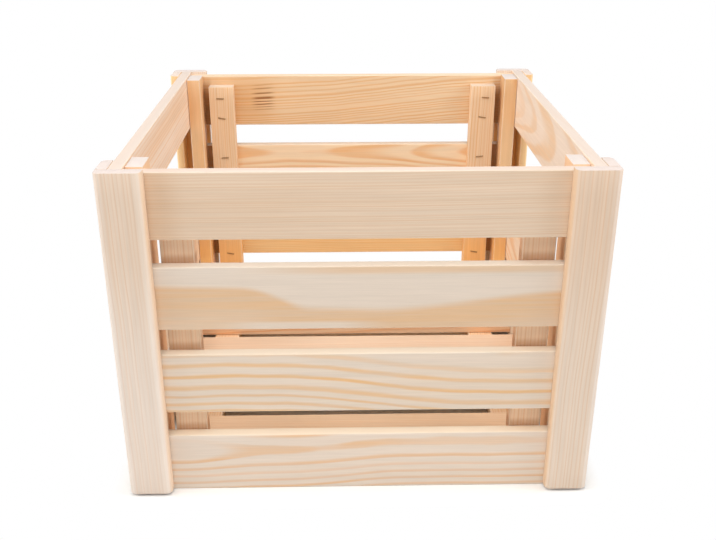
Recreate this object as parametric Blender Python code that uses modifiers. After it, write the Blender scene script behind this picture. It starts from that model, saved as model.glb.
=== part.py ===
# Slatted wooden crate: four walls of slats, an L of two boards round each corner,
# battens stapled inside the walls and a floor of spaced boards on two bearers.
# Metres, +Z up. The origin is on the ground under the middle, the front looks to -Y.

import math

import bmesh
import bpy
from mathutils import Matrix, Vector

# Overall size, over the corner boards
crate_width = 0.400
crate_depth = 0.384

# Wall slats, laid flat one above another with open gaps
slats_per_wall = 4
slat_height = 0.0555
slat_thickness = 0.0105
slat_gap = 0.0234
slat_rounding = 0.001
# A side wall has no slat at this level, counted down from the top, which leaves room for a hand
hand_opening_level = 2

# Corner boards: a front or rear board covers the edge of a side board
corner_board_width = 0.0365
corner_board_thickness = 0.0105
corner_board_rounding = 0.005
side_board_width = 0.024
side_board_thickness = 0.009
# They and the side slats are set this much higher than the front and rear slats
corner_board_rise = 0.0028

# Battens and floor bearers, all of one width; those in the corners are a little thicker
batten_width = 0.027
batten_thickness = 0.0135
corner_batten_thickness = 0.014
batten_rounding = 0.001
batten_slot = 0.0071
corner_batten_drop = 0.0018
wall_batten_drop = 0.0095

# Floor boards, laid from the front wall's battens with the odd space left at the rear
floor_boards = 4
floor_board_width = 0.0555
floor_board_thickness = 0.0105
floor_board_rounding = 0.001
floor_rear_space = 0.0175

# Staples of flat wire, driven through the rear wall's battens into its slats
staple_crown = 0.0082
staple_wire_width = 0.0011
staple_wire_thickness = 0.0006
staple_bite = 0.005

# Clearance between pieces that touch, and the sanded ease on sawn ends
fit = 0.0003
end_ease = 0.0005

# Facets across a rounded edge, the least angle that counts as a sharp edge, and the weld distance
board_facets = 3
corner_board_facets = 5
batten_facets = 2
sharp_angle_deg = 60
weld_distance = 0.000003

# Two staples to a slat, as shares of its height down from its top edge, top slat first
staple_rows = ((0.40, 0.80), (0.20, 0.62), (0.38, 0.90), (0.20, 0.42))
# They are driven by hand, so each is turned and set off the batten's middle a little, in turn
staple_turns_deg = (0, -11, 4, -6, -4, -10, 5, 3)
staple_offsets = (-0.0014, -0.0008, 0.0004, 0.0012, 0.0026, 0.0, -0.0006, 0.0009)

# Worked out from the sizes above
crate_height = slats_per_wall * slat_height + (slats_per_wall - 1) * slat_gap + corner_board_rise
slat_pitch = slat_height + slat_gap
end_slat_top = crate_height - corner_board_rise
side_slat_top = crate_height
side_slat_outer = crate_width / 2 - side_board_thickness - fit
side_slat_inner = side_slat_outer - slat_thickness
end_slat_outer = crate_depth / 2 - corner_board_thickness - fit
end_slat_inner = end_slat_outer - slat_thickness
corner_batten_outer = side_slat_inner - fit
corner_batten_inner = corner_batten_outer - corner_batten_thickness
batten_back = end_slat_inner - fit
corner_batten_start = batten_back - batten_width
wall_batten_outer = corner_batten_inner - batten_slot
wall_batten_inner = wall_batten_outer - batten_width
wall_batten_face = batten_back - batten_thickness
floor_seat = batten_thickness + fit
floor_top = floor_seat + floor_board_thickness
floor_front = fit - wall_batten_face
floor_room = wall_batten_face - fit - floor_rear_space - floor_front
floor_pitch = (floor_room - floor_board_width) / (floor_boards - 1)
staple_leg = fit + batten_thickness + fit + staple_bite

# Left and right are the signs of X, front and rear the signs of Y
sides = (("left", -1), ("right", 1))
ends = (("front", -1), ("rear", 1))

# Colours of planed, unfinished pine and of galvanised wire in 8-bit sRGB
front_slat_colour = (226, 200, 174)
rear_slat_colour = (230, 192, 155)
side_slat_colour = (234, 200, 165)
corner_board_colour = (227, 205, 182)
batten_colour = (233, 194, 156)
floor_colour = (238, 198, 163)
staple_colour = (150, 136, 120)
wood_roughness = 0.6
wire_roughness = 0.4


def new_collection(name):
    collection = bpy.data.collections.new(name)
    bpy.context.scene.collection.children.link(collection)
    return collection


def linear(colour):
    return [((c / 255 + 0.055) / 1.055) ** 2.4 for c in colour]


def new_material(name, colour, roughness, metallic):
    material = bpy.data.materials.new(name)
    material.use_nodes = True
    shader = material.node_tree.nodes["Principled BSDF"]
    shader.inputs["Base Color"].default_value = (*linear(colour), 1.0)
    shader.inputs["Roughness"].default_value = roughness
    shader.inputs["Metallic"].default_value = metallic
    return material


def mirrored(sign, near, far):
    """The span between two distances from the middle, on the side that the sign gives."""
    return tuple(sorted((sign * near, sign * far)))


def slat_span(wall_top, level):
    """Bottom and top of a wall's slat, counted down from the top one."""
    top = wall_top - level * slat_pitch
    return top - slat_height, top


def add_board(name, x, y, z, colour, rounding, facets, is_rounded=None):
    """A planed board: its chosen long edges rounded, every other edge and its ends just eased."""
    spans = (x, y, z)
    size = Vector([high - low for low, high in spans])
    run = max(range(3), key=lambda axis: size[axis])
    bm = bmesh.new()
    bmesh.ops.create_cube(bm, size=1.0)
    bmesh.ops.scale(bm, vec=size, verts=bm.verts)
    weight = bm.edges.layers.float.new("bevel_weight_edge")
    for edge in bm.edges:
        start, end = (vert.co for vert in edge.verts)
        runs_along = abs(end[run] - start[run]) > size[run] / 2
        middle = (start + end) / 2
        edge[weight] = float(runs_along and (is_rounded is None or is_rounded(middle)))
    mesh = bpy.data.meshes.new(name)
    bm.to_mesh(mesh)
    bm.free()
    mesh.materials.append(new_material("pine_" + name, colour, wood_roughness, 0.0))

    board = bpy.data.objects.new(name, mesh)
    parts.objects.link(board)
    board.parent = crate
    board.location = [(low + high) / 2 for low, high in spans]
    rounded = board.modifiers.new("Rounded long edges", "BEVEL")
    rounded.limit_method = "WEIGHT"
    rounded.width = rounding
    rounded.segments = facets
    eased = board.modifiers.new("Eased ends", "BEVEL")
    eased.limit_method = "ANGLE"
    eased.angle_limit = math.radians(sharp_angle_deg)
    eased.width = end_ease
    eased.segments = 1


def add_end_slats():
    """Front and rear slats, which fit between the side slats and end a little below them."""
    reach = side_slat_inner - fit
    for end, sy in ends:
        colour = front_slat_colour if end == "front" else rear_slat_colour
        for level in range(slats_per_wall):
            add_board(f"{end}_slat_{level + 1}", (-reach, reach),
                      mirrored(sy, end_slat_inner, end_slat_outer), slat_span(end_slat_top, level),
                      colour, slat_rounding, board_facets)


def add_side_slats():
    """Side slats, level with the corner boards' tops, with a hand opening below the top one."""
    levels = [level for level in range(slats_per_wall) if level + 1 != hand_opening_level]
    for side, sx in sides:
        for level in levels:
            add_board(f"{side}_slat_{level + 1}", mirrored(sx, side_slat_inner, side_slat_outer),
                      (-end_slat_outer, end_slat_outer), slat_span(side_slat_top, level),
                      side_slat_colour, slat_rounding, board_facets)


def add_corner_boards():
    """Each corner's L: the end board shows two round edges, the side board behind it only one."""
    upright = (corner_board_rise, crate_height)
    for end, sy in ends:
        for side, sx in sides:
            add_board(f"{end}_{side}_corner_board",
                      mirrored(sx, crate_width / 2 - corner_board_width, crate_width / 2),
                      mirrored(sy, crate_depth / 2 - corner_board_thickness, crate_depth / 2), upright,
                      corner_board_colour, corner_board_rounding, corner_board_facets,
                      lambda middle: middle.y * sy > 0)
            add_board(f"{side}_{end}_side_board",
                      mirrored(sx, crate_width / 2 - side_board_thickness, crate_width / 2),
                      mirrored(sy, end_slat_outer - side_board_width, end_slat_outer), upright,
                      corner_board_colour, corner_board_rounding, corner_board_facets,
                      lambda middle: middle.x * sx > 0 and middle.y * sy < 0)


def add_battens():
    """Corner battens lie flat on the side slats, wall battens on the front and rear slats."""
    for end, sy in ends:
        for side, sx in sides:
            add_board(f"{end}_{side}_corner_batten", mirrored(sx, corner_batten_inner, corner_batten_outer),
                      mirrored(sy, corner_batten_start, batten_back),
                      (0.0, crate_height - corner_batten_drop),
                      batten_colour, batten_rounding, batten_facets)
            add_board(f"{end}_{side}_wall_batten", mirrored(sx, wall_batten_inner, wall_batten_outer),
                      mirrored(sy, wall_batten_face, batten_back),
                      (floor_seat, end_slat_top - wall_batten_drop),
                      batten_colour, batten_rounding, batten_facets)


def add_floor():
    """Two bearers from wall to wall under the wall battens, and the boards across them.

    A board reaches the side slats, or the corner battens where it lies between those.
    """
    for side, sx in sides:
        add_board(f"{side}_floor_bearer", mirrored(sx, wall_batten_inner, wall_batten_outer),
                  (-batten_back, batten_back), (0.0, batten_thickness),
                  batten_colour, batten_rounding, batten_facets)
    for place in range(floor_boards):
        start = floor_front + place * floor_pitch
        end = start + floor_board_width
        between_battens = max(-start, end) > corner_batten_start - fit
        reach = (corner_batten_inner if between_battens else side_slat_inner) - fit
        add_board(f"floor_board_{place + 1}", (-reach, reach), (start, end),
                  (floor_seat, floor_top), floor_colour, floor_board_rounding, board_facets)


def staple_shape():
    """One staple as an extruded U: crown along X, legs down Y with chisel points."""
    half = staple_crown / 2
    wire = staple_wire_thickness
    tip = -wire - staple_leg
    inner = half - wire
    right_half = [(inner, 0.0), (half, -wire), (half, tip), (inner, tip + wire), (inner, -wire)]
    outline = right_half + [(-x, y) for x, y in reversed(right_half)]
    curve = bpy.data.curves.new("staple_outline", "CURVE")
    curve.dimensions = "2D"
    curve.fill_mode = "BOTH"
    curve.extrude = staple_wire_width / 2
    spline = curve.splines.new("POLY")
    spline.points.add(len(outline) - 1)
    for point, (x, y) in zip(spline.points, outline):
        point.co = (x, y, 0.0, 1.0)
    spline.use_cyclic_u = True
    drawn = bpy.data.objects.new("staple_outline", curve)
    cutters.objects.link(drawn)
    bpy.context.view_layer.update()
    mesh = bpy.data.meshes.new_from_object(drawn.evaluated_get(bpy.context.evaluated_depsgraph_get()))
    bpy.data.objects.remove(drawn)
    bm = bmesh.new()
    bm.from_mesh(mesh)
    bmesh.ops.remove_doubles(bm, verts=bm.verts, dist=weld_distance)
    bmesh.ops.recalc_face_normals(bm, faces=bm.faces)
    bm.to_mesh(mesh)
    bm.free()
    mesh.materials.append(new_material("galvanised_wire", staple_colour, wire_roughness, 1.0))
    return mesh


def staple_place(x, z, turn):
    """Stands a staple on a rear batten's face: crown just clear of it, legs into the wood."""
    upright = Matrix.Rotation(math.pi, 4, "X")
    tilt = Matrix.Rotation(math.radians(-turn), 4, "Y")
    return Matrix.Translation((x, wall_batten_face - fit - staple_wire_thickness, z)) @ tilt @ upright


def staple_places(side, sx):
    """Every staple of one rear batten, from the top slat down."""
    middle = sx * (wall_batten_inner + wall_batten_outer) / 2
    taken = 0 if side == "left" else len(staple_turns_deg) // 2
    for level in range(slats_per_wall):
        for share in staple_rows[level % len(staple_rows)]:
            turn = staple_turns_deg[taken % len(staple_turns_deg)]
            offset = staple_offsets[taken % len(staple_offsets)]
            taken += 1
            top = slat_span(end_slat_top, level)[1]
            yield staple_place(middle + offset, top - share * slat_height, turn)


def cut_leg_slots(side, places):
    """Slots for the staples' legs, through a rear batten and into the slats behind it."""
    leg_x = (staple_crown - staple_wire_thickness) / 2
    top = 2 * staple_wire_thickness
    bottom = -staple_wire_thickness - staple_leg - fit
    size = (staple_wire_thickness + 2 * fit, top - bottom, staple_wire_width + 2 * fit)
    slots = bmesh.new()
    for place in places:
        for x in (-leg_x, leg_x):
            slot = Matrix.Translation((x, (top + bottom) / 2, 0.0)) @ Matrix.Diagonal((*size, 1.0))
            bmesh.ops.create_cube(slots, size=1.0, matrix=place @ slot)
    mesh = bpy.data.meshes.new(f"rear_{side}_leg_slots")
    slots.to_mesh(mesh)
    slots.free()
    cutter = bpy.data.objects.new(mesh.name, mesh)
    cutters.objects.link(cutter)
    cutter.hide_render = True
    cutter.display_type = "WIRE"
    held = [f"rear_{side}_wall_batten"] + [f"rear_slat_{level + 1}" for level in range(slats_per_wall)]
    for name in held:
        cut = parts.objects[name].modifiers.new("Staple legs", "BOOLEAN")
        cut.operation = "DIFFERENCE"
        cut.solver = "EXACT"
        cut.object = cutter


def add_staples():
    """The rear wall's staples, which show over the front wall."""
    shape = staple_shape()
    for side, sx in sides:
        places = list(staple_places(side, sx))
        for number, place in enumerate(places):
            staple = bpy.data.objects.new(f"rear_{side}_staple_{number + 1}", shape)
            parts.objects.link(staple)
            staple.parent = crate
            staple.matrix_basis = place
        cut_leg_slots(side, places)


for old in list(bpy.data.objects):
    bpy.data.objects.remove(old, do_unlink=True)
parts = new_collection("wooden_crate")
cutters = new_collection("cutters")
crate = bpy.data.objects.new("crate_middle", None)
parts.objects.link(crate)

add_end_slats()
add_side_slats()
add_corner_boards()
add_battens()
add_floor()
add_staples()
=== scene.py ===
# Slatted pine crate: planed boards, wire staples, studio and camera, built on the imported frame.
# Lengths are metres in the meshes and millimetres where a name ends in Mm.
import math
import random

import bmesh
import bpy
from mathutils import Matrix, Vector


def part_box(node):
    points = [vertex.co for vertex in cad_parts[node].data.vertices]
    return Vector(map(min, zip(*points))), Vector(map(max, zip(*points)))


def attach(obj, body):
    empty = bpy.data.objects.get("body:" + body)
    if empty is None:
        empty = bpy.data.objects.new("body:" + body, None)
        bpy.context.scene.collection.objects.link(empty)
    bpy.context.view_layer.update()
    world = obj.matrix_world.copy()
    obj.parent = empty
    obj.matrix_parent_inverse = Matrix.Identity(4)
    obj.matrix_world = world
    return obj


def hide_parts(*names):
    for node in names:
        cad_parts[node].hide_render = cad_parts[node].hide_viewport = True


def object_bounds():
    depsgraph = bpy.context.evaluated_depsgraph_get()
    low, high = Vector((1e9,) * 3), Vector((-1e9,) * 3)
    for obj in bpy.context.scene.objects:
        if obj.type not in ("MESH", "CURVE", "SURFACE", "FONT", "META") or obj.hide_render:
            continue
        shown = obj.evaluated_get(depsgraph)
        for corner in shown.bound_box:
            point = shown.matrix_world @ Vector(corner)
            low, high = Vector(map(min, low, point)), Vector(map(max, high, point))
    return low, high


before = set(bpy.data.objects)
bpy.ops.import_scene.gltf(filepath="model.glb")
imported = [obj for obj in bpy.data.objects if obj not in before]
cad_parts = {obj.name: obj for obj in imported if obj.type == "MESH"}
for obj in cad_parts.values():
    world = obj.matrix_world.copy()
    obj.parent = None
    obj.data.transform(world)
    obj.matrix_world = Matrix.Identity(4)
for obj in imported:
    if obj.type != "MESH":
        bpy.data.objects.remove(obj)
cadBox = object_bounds()
mmPerMetre = 1000
print("frame:", len(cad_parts), "nodes")


# From sRGB hex to linear
def toLinear(hexColour):
    channels = [int(hexColour[i:i + 2], 16) / 255 for i in (1, 3, 5)]
    linear = [c / 12.92 if c <= 0.04045 else ((c + 0.055) / 1.055) ** 2.4 for c in channels]
    return (*linear, 1.0)


# A node with its settings and links; its inputs come in order, or by name or number in a dictionary.
# A colour Mix takes its share at 0 and its colours at 6 and 7, and gives the mixture at 2.
def addNode(tree, kind, inputs=(), **settings):
    node = tree.nodes.new(kind)
    for name, value in settings.items():
        setattr(node, name, value)
    sockets = inputs if isinstance(inputs, dict) else dict(enumerate(inputs))
    for socket, value in sockets.items():
        if isinstance(value, bpy.types.NodeSocket):
            tree.links.new(value, node.inputs[socket])
        else:
            node.inputs[socket].default_value = value
    return node.outputs


def newMaterial(name):
    material = bpy.data.materials.new(name)
    material.use_nodes = True
    tree = material.node_tree
    return material, tree, tree.nodes["Principled BSDF"]


# Planed, unfinished pine: soft pale earlywood, warm latewood lines, dull fibres along the board
pineLook = {
    "streaks": {                  # length and width in millimetres, detail, step of the seed
        "band": ((150.0, 4.0), 2.0, 11),      # broader streaks of lighter and darker growth
        "fibre": ((34.0, 0.9), 3.0, 22),      # drawn coarser than real, so that it shows
        "tone": ((170.0, 34.0), 2.0, 33),     # slow blotches of warmer wood
    },
    "ripple": (2.0, 7),           # detail, step of the seed
    "slow": {"Scale": 1.0, "Detail": 1.0},    # noise for slow changes along a line
    "depthStep": 31,              # step of the seed from wander across to wander through the board
    "yearPace": 0.37,             # how fast ring widths change from year to year
    "patchRange": (0.3, 0.7),     # streaks that weaken or strengthen the latewood
    "patchShare": (0.7, 1.15),
    "toneRange": (0.35, 0.7),
    "stainCore": 0.3,             # share of a stain's half size that has its full colour
    "fineRange": (0.6, 1.4),
    "fibreTone": (0.93, 1.06),
    "end": ("#d9ccc6", 0.85),     # sawn end grain, paler and pinker
    "facingRange": (0.6, 0.9),    # how squarely a face looks along an axis to count as end or edge
    "wornColour": "#f3e3d0",      # sanded arris, where the fibres are broken
    "arrisMm": (1.2, 0.3),        # how far from the arris the sanding begins and is full
    "roughness": (0.70, 0.52),
    "lateRelief": 0.5,
    "bumpStrength": 0.5,
    "bumpMm": 0.12,
}


# Noise drawn out along the board, in patches of a length and a width in millimetres
def streaks(tree, place, order, patchMm, detail, seed):
    scale = [1 / patchMm[1]] * 3
    scale[order[0]] = 1 / patchMm[0]
    drawnOut = addNode(tree, "ShaderNodeVectorMath", (place, scale), operation="MULTIPLY")[0]
    noise = {"Vector": drawnOut, "W": seed, "Scale": 1.0, "Detail": detail}
    return addNode(tree, "ShaderNodeTexNoise", noise, noise_dimensions="4D")["Fac"]


# Rings round a pith line, as one solid figure, so that faces, edges and sawn ends agree.
# The pith line bows and leans along the board, and wanders a little.
def growthRings(tree, place, order, figure):
    spot = addNode(tree, "ShaderNodeSeparateXYZ", (place,))
    along = spot[order[0]]
    reach = [spot[order[1]], spot[order[2]]]
    for bowPlace, bowNear, bowFar, *bows in figure["bowMm"]:
        shifted = addNode(tree, "ShaderNodeMath", (along, bowPlace), operation="SUBTRACT")[0]
        away = addNode(tree, "ShaderNodeMath", (shifted,), operation="ABSOLUTE")[0]
        bow = addNode(tree, "ShaderNodeMapRange", (away, bowNear, bowFar),
                      interpolation_type="SMOOTHSTEP")[0]
        for side in range(2):
            bowed = (bow, -bows[side], reach[side])
            reach[side] = addNode(tree, "ShaderNodeMath", bowed, operation="MULTIPLY_ADD")[0]
    wanderLength, wander = figure["wanderMm"]
    for side in range(2):
        leant = (along, -figure["lean"][side], reach[side])
        leaning = addNode(tree, "ShaderNodeMath", leant, operation="MULTIPLY_ADD")[0]
        pith = figure["pithMm"][side] + wander
        fromPith = addNode(tree, "ShaderNodeMath", (leaning, pith), operation="SUBTRACT")[0]
        paced = (along, 1 / wanderLength, figure["seed"] + pineLook["depthStep"] * side)
        pace = addNode(tree, "ShaderNodeMath", paced, operation="MULTIPLY_ADD")[0]
        slow = addNode(tree, "ShaderNodeTexNoise", {"W": pace, **pineLook["slow"]},
                       noise_dimensions="1D")["Fac"]
        wandering = (slow, 2 * wander, fromPith)
        reach[side] = addNode(tree, "ShaderNodeMath", wandering, operation="MULTIPLY_ADD")[0]
    across = addNode(tree, "ShaderNodeCombineXYZ", reach)[0]
    radius = addNode(tree, "ShaderNodeVectorMath", (across,), operation="LENGTH")["Value"]
    *rippleSize, rippleMm = figure["rippleMm"]
    detail, step = pineLook["ripple"]
    ripple = streaks(tree, place, order, rippleSize, detail, figure["seed"] + step)
    evened = addNode(tree, "ShaderNodeMath", (ripple, 0.5), operation="SUBTRACT")[0]
    rippled = (evened, 2 * rippleMm, radius)
    distance = addNode(tree, "ShaderNodeMath", rippled, operation="MULTIPLY_ADD")[0]
    phase = addNode(tree, "ShaderNodeMath", (distance, figure["ringMm"]), operation="DIVIDE")[0]
    years = (phase, pineLook["yearPace"], figure["seed"])
    year = addNode(tree, "ShaderNodeMath", years, operation="MULTIPLY_ADD")[0]
    width = addNode(tree, "ShaderNodeTexNoise", {"W": year, **pineLook["slow"]},
                    noise_dimensions="1D")["Fac"]
    return addNode(tree, "ShaderNodeMath", (width, figure["uneven"], phase), operation="MULTIPLY_ADD")[0]


# Latewood: how dark the place is within its ring, stronger in some years than in others
def latewoodShare(tree, rings, band, figure):
    within = addNode(tree, "ShaderNodeMath", (rings,), operation="FRACT")[0]
    dark = addNode(tree, "ShaderNodeValToRGB", (within,))[0]
    ramp = dark.node.color_ramp
    ramp.interpolation = "EASE"
    begin, full, end = figure["latewood"]
    ramp.elements[0].position = begin
    ramp.elements[0].color = (0, 0, 0, 1)
    ramp.elements[1].position = full
    ramp.elements[1].color = (1, 1, 1, 1)
    ramp.elements.new(end).color = (1, 1, 1, 1)
    ramp.elements.new(1.0).color = (0, 0, 0, 1)
    whole = addNode(tree, "ShaderNodeMath", (rings,), operation="FLOOR")[0]
    yearly = addNode(tree, "ShaderNodeTexWhiteNoise", {"W": whole}, noise_dimensions="1D")["Value"]
    strong = addNode(tree, "ShaderNodeMapRange", (yearly, 0.0, 1.0, figure["faintest"], 1.0))[0]
    patches = (band, *pineLook["patchRange"], *pineLook["patchShare"])
    patchy = addNode(tree, "ShaderNodeMapRange", patches)[0]
    strength = addNode(tree, "ShaderNodeMath", (strong, patchy), operation="MULTIPLY")[0]
    return addNode(tree, "ShaderNodeMath", (dark, strength), operation="MULTIPLY")[0]


# Resin, heartwood or bleached wood: a soft-edged patch, with its middle and half size
# along, across and, where a third value is given, through the board
def woodStain(placeMm, halfMm, colour, share, inRings=False):
    return {"placeMm": placeMm, "halfMm": halfMm, "colour": colour, "share": share, "inRings": inRings}


def addStain(tree, colour, late, place, order, stain):
    spot = addNode(tree, "ShaderNodeSeparateXYZ", (place,))
    share = late if stain["inRings"] else 1.0
    for axis, middle, half in zip(order, stain["placeMm"], stain["halfMm"]):
        shifted = addNode(tree, "ShaderNodeMath", (spot[axis], middle), operation="SUBTRACT")[0]
        away = addNode(tree, "ShaderNodeMath", (shifted,), operation="ABSOLUTE")[0]
        fading = (away, half * pineLook["stainCore"], half, 1.0, 0.0)
        window = addNode(tree, "ShaderNodeMapRange", fading, interpolation_type="SMOOTHSTEP")[0]
        share = addNode(tree, "ShaderNodeMath", (share, window), operation="MULTIPLY")[0]
    share = addNode(tree, "ShaderNodeMath", (share, stain["share"]), operation="MULTIPLY")[0]
    stained = {0: share, 6: colour, 7: toLinear(stain["colour"])}
    return addNode(tree, "ShaderNodeMix", stained, data_type="RGBA")[2]


def pineMaterial(name, low, high, figure):
    material, tree, shader = newMaterial("planedPine_" + name)
    size = high - low
    order = sorted(range(3), key=lambda axis: -size[axis])     # along, across and through the board
    coords = addNode(tree, "ShaderNodeTexCoord")["Object"]
    centred = {"Vector": coords, "Scale": (mmPerMetre,) * 3, "Location": (low + high) / -2 * mmPerMetre}
    place = addNode(tree, "ShaderNodeMapping", centred)[0]

    # Growth streaks, fibres and slow changes of tone
    band, fibre, tone = (streaks(tree, place, order, patchMm, detail, figure["seed"] + step)
                         for patchMm, detail, step in pineLook["streaks"].values())
    fine = addNode(tree, "ShaderNodeMath", (band, fibre), operation="ADD")[0]

    # Colour: earlywood to latewood, warmed in patches, then stains and fibres
    early = toLinear(figure["early"])
    latest = toLinear(figure["late"])
    late = latewoodShare(tree, growthRings(tree, place, order, figure), band, figure)
    share = addNode(tree, "ShaderNodeMath", (late, figure["contrast"]), operation="MULTIPLY")[0]
    colour = addNode(tree, "ShaderNodeMix", {0: share, 6: early, 7: latest}, data_type="RGBA")[2]
    warm = addNode(tree, "ShaderNodeMapRange", (tone, *pineLook["toneRange"], 0.0, figure["warmth"]))[0]
    colour = addNode(tree, "ShaderNodeMix", {0: warm, 6: colour, 7: latest}, data_type="RGBA")[2]
    for stain in figure.get("stains", ()):
        colour = addStain(tree, colour, late, place, order, stain)
    fibreTones = (fine, *pineLook["fineRange"], *pineLook["fibreTone"])
    fibreTone = addNode(tree, "ShaderNodeMapRange", fibreTones)[0]
    toned = {0: colour, "Scale": fibreTone}
    colour = addNode(tree, "ShaderNodeVectorMath", toned, operation="SCALE")[0]

    # Sawn ends and narrow edges have their own tint and share; a third value, 1 or -1, is the one side
    normal = addNode(tree, "ShaderNodeNewGeometry")["Normal"]
    facing = addNode(tree, "ShaderNodeSeparateXYZ", (normal,))
    for axis, (tint, most, *side) in zip(order, (figure.get("end", pineLook["end"]), figure["edge"])):
        if side:
            turned = addNode(tree, "ShaderNodeMath", (facing[axis], side[0]), operation="MULTIPLY")[0]
        else:
            turned = addNode(tree, "ShaderNodeMath", (facing[axis],), operation="ABSOLUTE")[0]
        share = addNode(tree, "ShaderNodeMapRange", (turned, *pineLook["facingRange"], 0.0, most))[0]
        tinted = {0: share, 6: colour, 7: toLinear(tint)}
        colour = addNode(tree, "ShaderNodeMix", tinted, data_type="RGBA")[2]

    # The arrises are sanded
    spot = addNode(tree, "ShaderNodeSeparateXYZ", (place,))
    begin, full = pineLook["arrisMm"]
    rubbed = band
    for axis in order[1:]:
        half = size[axis] / 2 * mmPerMetre
        away = addNode(tree, "ShaderNodeMath", (spot[axis],), operation="ABSOLUTE")[0]
        near = addNode(tree, "ShaderNodeMapRange", (away, half - begin, half - full))[0]
        rubbed = addNode(tree, "ShaderNodeMath", (rubbed, near), operation="MULTIPLY")[0]
    worn = {0: rubbed, 6: colour, 7: toLinear(pineLook["wornColour"])}
    colour = addNode(tree, "ShaderNodeMix", worn, data_type="RGBA")[2]
    tree.links.new(colour, shader.inputs["Base Color"])

    rough = (fine, *pineLook["fineRange"], *pineLook["roughness"])
    tree.links.new(addNode(tree, "ShaderNodeMapRange", rough)[0], shader.inputs["Roughness"])
    raised = (late, pineLook["lateRelief"], fine)
    height = addNode(tree, "ShaderNodeMath", raised, operation="MULTIPLY_ADD")[0]
    relief = {"Height": height, "Strength": pineLook["bumpStrength"],
              "Distance": pineLook["bumpMm"] / mmPerMetre}
    tree.links.new(addNode(tree, "ShaderNodeBump", relief)[0], shader.inputs["Normal"])
    return material


# Boards: one of each kind is shaped to its node's box, its long edges rounded and its ends eased
boardShape = {
    "ease": 0.0005,
    "easeFacets": 2,
    "roundFacets": 6,
    "sharpDeg": 60,               # edges sharper than this are eased
    "smoothDeg": 35,
    "stationGap": 0.02,           # a cut every 20 mm, for the slight unevenness of planed wood
    "unevenness": 0.0002,
    "unevenLength": 0.05,
}


def shapeBoard(node, rounding, isRounded):
    low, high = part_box(node)
    size = high - low
    run = max(range(3), key=lambda axis: size[axis])
    bpy.ops.object.select_all(action="DESELECT")
    bpy.ops.mesh.primitive_cube_add(size=1, location=(low + high) / 2)
    board = bpy.context.active_object
    board.scale = size
    bpy.ops.object.transform_apply(location=True, rotation=True, scale=True)
    bpy.ops.object.mode_set(mode="EDIT")
    bpy.ops.mesh.select_mode(type="EDGE")
    bpy.ops.mesh.select_all(action="DESELECT")
    mesh = bmesh.from_edit_mesh(board.data)
    for edge in mesh.edges:
        middle = (edge.verts[0].co + edge.verts[1].co) / 2
        runsAlong = abs(edge.verts[0].co[run] - edge.verts[1].co[run]) > size[run] / 2
        edge.select_set(runsAlong and isRounded(middle - (low + high) / 2))
    bmesh.update_edit_mesh(board.data)
    bpy.ops.mesh.bevel(offset=rounding, segments=boardShape["roundFacets"], affect="EDGES")
    bpy.ops.mesh.select_all(action="DESELECT")
    bpy.ops.mesh.edges_select_sharp(sharpness=math.radians(boardShape["sharpDeg"]))
    bpy.ops.mesh.bevel(offset=boardShape["ease"], segments=boardShape["easeFacets"], affect="EDGES")
    normal = Vector([float(axis == run) for axis in range(3)])
    stations = round(size[run] / boardShape["stationGap"])
    for station in range(1, stations):
        bpy.ops.mesh.select_all(action="SELECT")
        cut = low + normal * size[run] * station / stations
        bpy.ops.mesh.bisect(plane_co=cut, plane_no=normal)
    bpy.ops.object.mode_set(mode="OBJECT")
    return board


# A copy of a shaped board at another node's place, turned end for end where a turn is given
def copyBoard(board, fromNode, toNode, turn):
    fromMiddle, toMiddle = (sum(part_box(node), Vector()) / 2 for node in (fromNode, toNode))
    bpy.ops.object.select_all(action="DESELECT")
    board.select_set(True)
    bpy.context.view_layer.objects.active = board
    bpy.ops.object.duplicate(linked=False)
    copy = bpy.context.active_object
    turned = Matrix.Rotation(math.pi, 4, turn) if turn else Matrix()
    copy.matrix_world = Matrix.Translation(toMiddle) @ turned @ Matrix.Translation(-fromMiddle)
    bpy.ops.object.transform_apply(location=True, rotation=True, scale=True)
    return copy


# Planing leaves each board uneven in its own way
def finishBoard(board, node, figure):
    board.name = "pine_" + node
    bpy.ops.object.select_all(action="DESELECT")
    board.select_set(True)
    bpy.context.view_layer.objects.active = board
    wave = bpy.data.textures.new("planing_" + node, "CLOUDS")
    wave.noise_scale = boardShape["unevenLength"]
    uneven = board.modifiers.new("planing", "DISPLACE")
    uneven.texture = wave
    uneven.texture_coords = "GLOBAL"
    uneven.strength = boardShape["unevenness"]
    bpy.ops.object.modifier_apply(modifier=uneven.name)
    bpy.ops.object.shade_smooth_by_angle(angle=math.radians(boardShape["smoothDeg"]))
    low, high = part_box(node)
    board.data.materials.append(pineMaterial(node, low, high, figure))
    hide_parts(node)
    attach(board, "root")


# Boards of one kind, given as node: (slot, turn, figure)
def layBoards(rows, rounding, isRounded=lambda middle: True):
    first = next(iter(rows))
    model = shapeBoard(first, rounding, isRounded)
    boards = {node: copyBoard(model, first, node, turn)
              for node, (slot, turn, figure) in rows.items() if node != first}
    boards[first] = model
    for node, (slot, turn, figure) in rows.items():
        finishBoard(boards[node], node, figure)


# Figures drawn by lot: straight-grained boards lie beside the pith, flat-sawn ones in front of it
grainRanges = {
    "besideMm": (48, 85),
    "besideDepthMm": (-14, 14),
    "beforeMm": (-16, 16),
    "beforeDepthMm": (26, 44),
    "seed": (0, 90),
    "straightRingMm": (2.2, 3.2),
    "flatRingMm": (4.0, 6.0),
    "lean": (-0.02, 0.02),
    "depthLean": (-0.04, 0.04),
    "bowPlaceMm": (-120, 120),
    "bowReachMm": (0.0, 160.0),
    "bowMm": (-3, 3),
    "wanderMm": (70, 120),
}


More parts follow.
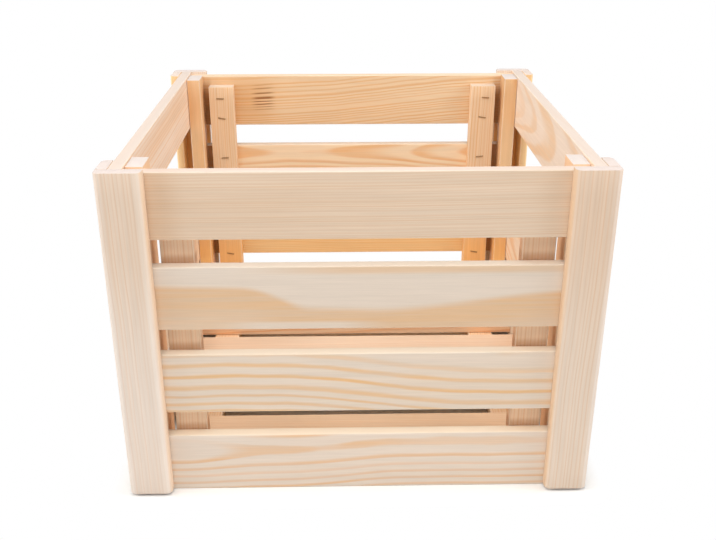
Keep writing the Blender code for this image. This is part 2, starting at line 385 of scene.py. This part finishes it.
def drawFigure(draw, straight, tones, edge, **changes):
    def drawn(name):
        return draw.uniform(*grainRanges[name])

    beside = (draw.choice((-1, 1)) * drawn("besideMm"), drawn("besideDepthMm"))
    before = (drawn("beforeMm"), draw.choice((-1, 1)) * drawn("beforeDepthMm"))
    figure = {
        "seed": drawn("seed"),
        "ringMm": drawn("straightRingMm" if straight else "flatRingMm"),
        "pithMm": beside if straight else before,
        "lean": (drawn("lean"), drawn("depthLean")),
        "bowMm": [(drawn("bowPlaceMm"), *grainRanges["bowReachMm"], drawn("bowMm"), drawn("bowMm"))],
        "wanderMm": (drawn("wanderMm"), 1.0), "rippleMm": (60.0, 12.0, 0.5), "uneven": 1.2,
        "latewood": (0.45, 0.78, 0.9), "faintest": 0.45, "contrast": 0.6 if straight else 0.9,
        "early": tones[0], "late": tones[1], "warmth": 0.2, "edge": edge}
    return {**figure, **changes}


# Front slats: the top one straight-grained, the second one broad ring, the lower two flat-sawn.
# The pith is across and through the board; a bow is its place, near, far and shift across and through;
# wander is length and size, a ripple length, width and size; latewood begins, is full and ends.
frontFigures = [
    {"seed": 1.3, "ringMm": 2.3, "pithMm": (70.0, 14.0), "lean": (0.005, 0.01),
     "bowMm": [(0.0, 0.0, 180.0, 0.8, 0.0)], "wanderMm": (160.0, 0.8), "rippleMm": (90.0, 14.0, 0.4),
     "uneven": 1.6, "latewood": (0.2, 0.72, 0.86), "faintest": 0.35, "contrast": 0.65,
     "early": "#e5cdb5", "late": "#dab38d", "warmth": 0.2, "edge": ("#dccac0", 0.6),
     # stains: painted shade and bounce light, warmer at both ends beside the corner boards
     "stains": [woodStain((-165.0, 0.0), (34.0, 90.0), "#cd9a66", 0.25),
                woodStain((165.0, 0.0), (34.0, 90.0), "#cd9a66", 0.1)]},
    # The lower three slats have near-white top and bottom edges: painted light where the slats above keep
    # light off and light comes up from below
    {"seed": 4.1, "ringMm": 60.0, "pithMm": (-40.0, 44.15), "lean": (-0.03, 0.0),
     "bowMm": [(200.0, 240.0, 295.0, 0.0, -15.0), (-200.0, 210.0, 460.0, 0.0, -28.9)],
     "wanderMm": (140.0, 0.3), "rippleMm": (70.0, 16.0, 0.35), "uneven": 0.0,
     "latewood": (0.25, 0.85, 0.92), "faintest": 1.0, "contrast": 0.95,
     "early": "#e3d3c3", "late": "#e0b990", "warmth": 0.1, "edge": ("#eedfcc", 0.9),
     "stains": [woodStain((60.0, 25.5), (170.0, 6.0), "#dfba92", 0.7),
                woodStain((-47.0, -24.8), (80.0, 5.5), "#e3d3c3", 0.85)]},
    {"seed": 9.7, "ringMm": 7.8, "pithMm": (47.7, 22.75), "lean": (0.0, 0.0),
     "bowMm": [(-160.0, 83.0, 265.0, -17.5, 0.0)], "wanderMm": (75.0, 1.3), "rippleMm": (45.0, 12.0, 1.2),
     "uneven": 0.8, "latewood": (0.4, 0.68, 0.8), "faintest": 0.5, "contrast": 0.95,
     "early": "#e4d3c2", "late": "#e6b984", "warmth": 0.1, "edge": ("#f4e4ce", 0.95)},
    {"seed": 6.2, "ringMm": 6.2, "pithMm": (11.5, 7.2), "lean": (0.0, 0.0),
     "bowMm": [(-160.0, 0.0, 85.0, 0.0, 5.2), (-160.0, 100.0, 200.0, 8.0, 0.0)],
     "wanderMm": (80.0, 0.5), "rippleMm": (45.0, 12.0, 0.7),
     "uneven": 0.15, "latewood": (0.45, 0.78, 0.9), "faintest": 0.5, "contrast": 0.85,
     "early": "#e6d5c5", "late": "#e6b98b", "warmth": 0.1, "edge": ("#f8e6cd", 0.95),
     "stains": [woodStain((-140.0, 24.0), (90.0, 11.0), "#e6d5c5", 0.85),
                woodStain((110.0, 20.0), (120.0, 11.0), "#e6d5c5", 0.4)]},
]

# Rear slats: the top one fine-grained with a patch of resin, the second with flames at both ends
rearFigures = [
    {"seed": 3.4, "ringMm": 2.7, "pithMm": (45.0, 45.0), "lean": (0.0, 0.0),
     "bowMm": [(-150.0, 40.0, 330.0, 22.0, 0.0)], "wanderMm": (80.0, 0.9), "rippleMm": (45.0, 12.0, 0.5),
     "uneven": 1.3, "latewood": (0.45, 0.8, 0.92), "faintest": 0.4, "contrast": 0.9,
     "early": "#f1d2ac", "late": "#e1a35d", "warmth": 0.2, "edge": ("#e6d4c4", 0.3),
     "stains": [woodStain((-125.0, 0.0), (50.0, 34.0), "#dc9a50", 0.4),
                woodStain((-100.0, 2.0), (16.0, 20.0), "#8a4f1e", 1.3, inRings=True)]},
    {"seed": 7.7, "ringMm": 1.8, "pithMm": (18.7, 41.6), "lean": (0.0, 0.0),
     "bowMm": [(-61.0, 0.0, 400.0, 0.0, -8.8)], "wanderMm": (90.0, 0.4), "rippleMm": (60.0, 14.0, 0.25),
     "uneven": 0.0, "latewood": (0.25, 0.7, 0.8), "faintest": 0.8, "contrast": 0.7,
     "early": "#fce2c0", "late": "#ecae67", "warmth": 0.1, "edge": ("#e6d4c4", 0.6)},
]

# Top side slats: the left one straight-grained, the right one with arches towards the front
sideEdge = ("#d8c7ba", 0.9)
sideFigures = {
    "left_slat_1": {
        "seed": 2.9, "ringMm": 3.4, "pithMm": (60.0, 8.0), "lean": (0.01, 0.0),
        "bowMm": [(0.0, 0.0, 200.0, 2.0, 0.0)], "wanderMm": (110.0, 1.2), "rippleMm": (60.0, 12.0, 0.5),
        "uneven": 1.4, "latewood": (0.35, 0.75, 0.9), "faintest": 0.35, "contrast": 0.6,
        "early": "#fceada", "late": "#eebd87", "warmth": 0.2, "edge": sideEdge,
        "stains": [woodStain((0.0, 12.0), (170.0, 16.0), "#ecb67c", 0.35)]},
    "right_slat_1": {
        "seed": 5.6, "ringMm": 8.0, "pithMm": (4.0, 40.0), "lean": (0.0, -0.1),
        "bowMm": [], "wanderMm": (70.0, 1.5), "rippleMm": (40.0, 12.0, 1.2),
        "uneven": 1.0, "latewood": (0.4, 0.7, 0.85), "faintest": 0.4, "contrast": 0.55,
        "early": "#fbebdb", "late": "#f0c184", "warmth": 0.1, "edge": sideEdge},
}

# All end slats share one shape; side slats are the same stock cut to run between them
slats = {
    "rounding": 0.001,
    "levels": (1, 2, 3, 4),
    "sideLevels": (1, 3, 4),
    "draw": 5,
    "straightShare": 0.4,
    "sideTones": ("#fae9d5", "#f0c593"),
    # the lower rear slats are painted more orange all over, as painted bounce light on their inner faces
    "lowBounceTones": ("#f6d6a2", "#e8aa58"),
    "lowEdge": ("#e6d4c4", 0.3),
    "slotMm": 162.5,              # middle of the slot beside each rear batten, where painted shade darkens the slat
    "slotHalfMm": 7.0,
    "slotSpanMm": (0.0, 90.0),    # middle and half height of a slot
    "topSlotSpanMm": (-10.0, 40.0),           # the battens end below the top edge
    "slotShadeColour": "#98632f",
    "slotShadeShare": 0.9,
}
slatDraw = random.Random(slats["draw"])
endRows = {}
for level, figure in zip(slats["levels"], frontFigures):
    endRows[f"front_slat_{level}"] = ("front_slats", None, figure)
for straight in (True, False):
    rearFigures.append(drawFigure(slatDraw, straight, slats["lowBounceTones"], slats["lowEdge"]))
for level, figure in zip(slats["levels"], rearFigures):
    # Painted shade: each rear slat is darker where it shows in the slot beside a rear batten
    middle, half = slats["topSlotSpanMm" if level == 1 else "slotSpanMm"]
    slotShades = [woodStain((side * slats["slotMm"], middle), (slats["slotHalfMm"], half),
                       slats["slotShadeColour"], slats["slotShadeShare"]) for side in (-1, 1)]
    figure["stains"] = figure.get("stains", []) + slotShades
    endRows[f"rear_slat_{level}"] = ("rear_slats", None, figure)
layBoards(endRows, slats["rounding"])
sideRows = {}
for side in ("left", "right"):
    for level in slats["sideLevels"]:
        node = f"{side}_slat_{level}"
        straight = slatDraw.random() < slats["straightShare"]
        figure = drawFigure(slatDraw, straight, slats["sideTones"], sideEdge)
        sideRows[node] = ("side_slats", None, sideFigures.get(node, figure))
layBoards(sideRows, slats["rounding"])
print("slats planed")

# Corner boards: straight-grained; the end boards are round on both outer edges, the side boards on one
cornerBoards = {
    "rounding": 0.005,
    "draw": 8,
    "tones": ("#e7d4c2", "#dcb590"),
    "paintedBounceTones": ("#ffdca6", "#fabc72"),     # rear side boards, painted orange all over as bounce light on their inner faces, seen through the hand openings
    "paintedInnerBounce": woodStain((42.0, 0.0, -5.0), (75.0, 90.0, 6.0), "#fab866", 0.9),     # rear end boards: painted bounce light, orange on their inner face
    # the orange on the narrow edges is partly edge grain and partly painted bounce light
    "edge": ("#e0b07c", 0.5),
    "changes": {                  # the front boards have the tone on their inner edge only, partly edge grain and partly painted light and bounce light
        "front_left_corner_board": {
            "edge": ("#ecc296", 0.45, 1.0),
            # painted light: pale strips on both edges as painted highlights, a paler foot for bounce light
            # from the floor, a darker head as painted shade
            "stains": [woodStain((0.0, -18.0), (500.0, 7.0), "#f6f0ec", 0.35),
                       woodStain((0.0, 17.0), (500.0, 7.0), "#fdf0e2", 0.5),
                       woodStain((-150.0, 0.0), (260.0, 90.0), "#f0e2d8", 0.4),
                       woodStain((150.0, 0.0), (160.0, 90.0), "#d8ad85", 0.15)]},
        "front_right_corner_board": {
            "edge": ("#e6bd90", 0.5, -1.0),
            # painted light: a pale strip on the outer edge as a painted highlight, a darker head as painted
            # shade
            "stains": [woodStain((0.0, 18.0), (500.0, 7.0), "#f6f0ec", 0.35),
                       woodStain((150.0, 0.0), (160.0, 90.0), "#d8ad85", 0.25)]},
    },
}
cornerDraw = random.Random(cornerBoards["draw"])
endBoards = {"front_left_corner_board": None, "front_right_corner_board": None,
             "rear_left_corner_board": "Z", "rear_right_corner_board": "Z"}
sideBoards = {"left_front_side_board": None, "right_front_side_board": "Y",
              "left_rear_side_board": "X", "right_rear_side_board": "Z"}
for turns, isRounded in ((endBoards, lambda middle: middle.y < 0),
                         (sideBoards, lambda middle: middle.x < 0 < middle.y)):
    rows = {}
    for node, turn in turns.items():
        tones = cornerBoards["paintedBounceTones" if "rear_side" in node else "tones"]
        changes = {"edge": cornerBoards["edge"], **cornerBoards["changes"].get(node, {})}
        if turns is endBoards and "rear" in node:
            changes["stains"] = [cornerBoards["paintedInnerBounce"]]
        rows[node] = ("corner_boards", turn, drawFigure(cornerDraw, True, tones, **changes))
    layBoards(rows, cornerBoards["rounding"], isRounded)
print("corner boards planed")

# Battens and floor bearers are one stock, in two directions
battens = {
    "rounding": 0.001,
    "draw": 12,
    "edge": ("#e6d4c4", 0.0),
    "kinds": {                    # tones of the faces, then the sawn ends
        "corner_batten": (("#efc597", "#de9c58"), ("#dad1cc", 0.9)),
        "wall_batten": (("#f0d0ac", "#e2a668"), ("#ddc7b2", 0.9)),
    },
    "bearerTones": ("#f0d0ac", "#e2a668"),
    # the front battens are painted paler, as painted light in their shaded places; the rear right corner
    # batten is painted darker, as painted shade
    "changes": {
        "rear_right_corner_batten": {"early": "#e9bf90", "late": "#d8964f"},
        "front_left_corner_batten": {"early": "#fdd6ae", "late": "#f4b883"},
        "front_right_corner_batten": {"early": "#fdd6ae", "late": "#f4b883"},
        "front_left_wall_batten": {"early": "#f8d6b6", "late": "#ebae78"},
        "front_right_wall_batten": {"early": "#f8d6b6", "late": "#ebae78"},
    },
    "paintedLedgeShade": ((9.0, 60.0), "#b57a50", 0.45),
    "paintedFootBounce": woodStain((-85.0, 0.0), (75.0, 60.0), "#f5be74", 0.8),
}
battenDraw = random.Random(battens["draw"])


# Painted shade: the front wall battens are darker where they meet the top of a slat
def paintedLedgeShades(node):
    middle = sum(corner.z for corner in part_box(node)) / 2
    ledges = [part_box(f"front_slat_{level}")[1].z - middle for level in slats["levels"][1:]]
    return [woodStain((ledge * mmPerMetre, 0.0), *battens["paintedLedgeShade"]) for ledge in ledges]


for kind, (tones, sawn) in battens["kinds"].items():
    rows = {}
    for end in ("front", "rear"):
        for side in ("left", "right"):
            node = f"{end}_{side}_{kind}"
            changes = {"end": sawn, **battens["changes"].get(node, {})}
            if end == "rear":
                changes["stains"] = [battens["paintedFootBounce"]]     # painted bounce light, warmer and more orange towards the foot
            elif kind == "wall_batten":
                changes["stains"] = paintedLedgeShades(node)
            rows[node] = ("battens", None, drawFigure(battenDraw, True, tones, battens["edge"], **changes))
    layBoards(rows, battens["rounding"])
rows = {}
for side in ("left", "right"):
    figure = drawFigure(battenDraw, True, battens["bearerTones"], battens["edge"])
    rows[f"{side}_floor_bearer"] = ("floor", None, figure)
layBoards(rows, battens["rounding"])
print("battens planed")

# Floor boards: the front one fits between the corner battens, the others reach the walls
floorBoards = {
    "rounding": 0.001,
    "draw": 21,
    "straightShare": 0.5,
    "edge": ("#e6d4c4", 0.0),
    "lengths": ((1,), (2, 3, 4)),             # boards of one length
    # each board has its own tone, also painted light and shade: board 1 paler for the front wall's shade,
    # board 3 duller, board 4 warmer for bounce light
    "tones": {1: ("#fadcbb", "#efbd88"), 2: ("#e8d0b8", "#daa97b"), 3: ("#e8d0b8", "#daa97b"),
              4: ("#fbd5b0", "#f0b07a")},
}
floorDraw = random.Random(floorBoards["draw"])
for places in floorBoards["lengths"]:
    rows = {}
    for place in places:
        straight = floorDraw.random() < floorBoards["straightShare"]
        figure = drawFigure(floorDraw, straight, floorBoards["tones"][place], floorBoards["edge"])
        rows[f"floor_board_{place}"] = ("floor", None, figure)
    layBoards(rows, floorBoards["rounding"])
print("floor laid")


# Galvanised steel wire: dull grey zinc with a faint spangle, browned where it was driven
wireLook = {"pale": "#c0a17c", "dark": "#a5835f", "spangleMm": 0.83, "detail": 3.0, "roughness": (0.32, 0.5)}


def wireMaterial():
    material, tree, shader = newMaterial("galvanisedWire")
    coords = addNode(tree, "ShaderNodeTexCoord")["Object"]
    place = addNode(tree, "ShaderNodeMapping", {"Vector": coords, "Scale": (mmPerMetre,) * 3})[0]
    grain = {"Vector": place, "Scale": 1 / wireLook["spangleMm"], "Detail": wireLook["detail"]}
    spangle = addNode(tree, "ShaderNodeTexNoise", grain)["Fac"]
    zinc = {0: spangle, 6: toLinear(wireLook["pale"]), 7: toLinear(wireLook["dark"])}
    tree.links.new(addNode(tree, "ShaderNodeMix", zinc, data_type="RGBA")[2], shader.inputs["Base Color"])
    rough = (spangle, 0.0, 1.0, *wireLook["roughness"])
    tree.links.new(addNode(tree, "ShaderNodeMapRange", rough)[0], shader.inputs["Roughness"])
    shader.inputs["Metallic"].default_value = 1.0
    return material


wire = wireMaterial()
for name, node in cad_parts.items():
    if "staple" in name:
        node.data.materials.clear()
        node.data.materials.append(wire)
print("staples finished")


# Studio: a white sweep, soft light from above, from both sides and from over the camera
studio = {
    "floorSize": 8.0,
    "floorColour": "#f4f4f2",
    "floorRoughness": 0.9,
    "shadeReach": 0.02,           # how far beyond the crate the floor still shows its shadow
    "skyLight": 0.2,
    "lampSize": 1.4,
    "aimHeight": 0.15,
    "lamps": {                    # place in metres and watts
        "top": ((0.0, 0.1, 2.6), 17.0),
        "left": ((-2.0, -0.5, 1.5), 27.0),
        "right": ((2.0, -0.5, 1.5), 27.0),
        "front": ((-0.2, -1.25, 2.25), 26.0),
    },
}


# Where the background is seen, itself or mirrored or through glass, and doesn't only light the crate
def seenShare(tree):
    rays = addNode(tree, "ShaderNodeLightPath")
    seen = rays["Is Camera Ray"]
    for kind in ("Is Glossy Ray", "Is Transmission Ray"):
        seen = addNode(tree, "ShaderNodeMath", (seen, rays[kind]), operation="MAXIMUM")[0]
    return seen


# The floor is seen plain white, apart from the shadow under and close round the crate
def floorMaterial():
    material, tree, shader = newMaterial("whitePaperSweep")
    shader.inputs["Base Color"].default_value = toLinear(studio["floorColour"])
    shader.inputs["Roughness"].default_value = studio["floorRoughness"]
    coords = addNode(tree, "ShaderNodeTexCoord")["Object"]
    spot = addNode(tree, "ShaderNodeSeparateXYZ", (coords,))
    outside = []
    for axis in range(2):
        away = addNode(tree, "ShaderNodeMath", (spot[axis],), operation="ABSOLUTE")[0]
        past = addNode(tree, "ShaderNodeMath", (away, cadBox[1][axis]), operation="SUBTRACT")[0]
        outside.append(addNode(tree, "ShaderNodeMath", (past, 0.0), operation="MAXIMUM")[0])
    beyond = addNode(tree, "ShaderNodeCombineXYZ", outside)[0]
    distance = addNode(tree, "ShaderNodeVectorMath", (beyond,), operation="LENGTH")["Value"]
    white = addNode(tree, "ShaderNodeMapRange", (distance, 0.0, studio["shadeReach"]),
                    interpolation_type="SMOOTHSTEP")[0]
    share = addNode(tree, "ShaderNodeMath", (seenShare(tree), white), operation="MULTIPLY")[0]
    glow = addNode(tree, "ShaderNodeEmission", {"Color": (1, 1, 1, 1), "Strength": 1.0})[0]
    mixed = addNode(tree, "ShaderNodeMixShader", (share, shader.outputs[0], glow))[0]
    tree.links.new(mixed, tree.nodes["Material Output"].inputs["Surface"])
    return material


def addStudio():
    bpy.ops.object.select_all(action="DESELECT")
    bpy.ops.mesh.primitive_plane_add(size=studio["floorSize"], location=(0, 0, 0))
    floor = bpy.context.active_object
    floor.name = "studioFloor"
    floor.data.materials.append(floorMaterial())

    world = bpy.data.worlds.new("whiteStudio")
    bpy.context.scene.world = world
    world.use_nodes = True
    tree = world.node_tree
    light = (seenShare(tree), 0.0, 1.0, studio["skyLight"], 1.0)
    sky = tree.nodes["Background"]
    sky.inputs["Color"].default_value = (1, 1, 1, 1)
    tree.links.new(addNode(tree, "ShaderNodeMapRange", light)[0], sky.inputs["Strength"])

    for name, (place, watts) in studio["lamps"].items():
        lamp = bpy.data.lights.new(name + "Softbox", "AREA")
        lamp.shape = "SQUARE"
        lamp.size = studio["lampSize"]
        lamp.energy = watts
        softbox = bpy.data.objects.new(lamp.name, lamp)
        bpy.context.scene.collection.objects.link(softbox)
        softbox.location = place
        aim = Vector((0, 0, studio["aimHeight"])) - softbox.location
        softbox.rotation_euler = aim.to_track_quat("-Z", "Y").to_euler()


# Camera: where the photograph was taken from
view = {
    "place": (-0.01455, -0.84433, 0.50154),
    "pitchDeg": -23.72,
    "yawDeg": -1.18,
    "lensMm": 45.743,
    "sensorMm": 36,
}


def addCamera():
    camera = bpy.data.cameras.new("productView")
    camera.sensor_width = view["sensorMm"]
    camera.lens = view["lensMm"]
    holder = bpy.data.objects.new("productView", camera)
    bpy.context.scene.collection.objects.link(holder)
    holder.location = view["place"]
    upright = 90 + view["pitchDeg"]           # an unturned camera looks straight down
    holder.rotation_euler = (math.radians(upright), 0, math.radians(view["yawDeg"]))
    bpy.context.scene.camera = holder


addStudio()
addCamera()
bpy.context.scene.view_settings.view_transform = "Standard"
print("studio and camera set")
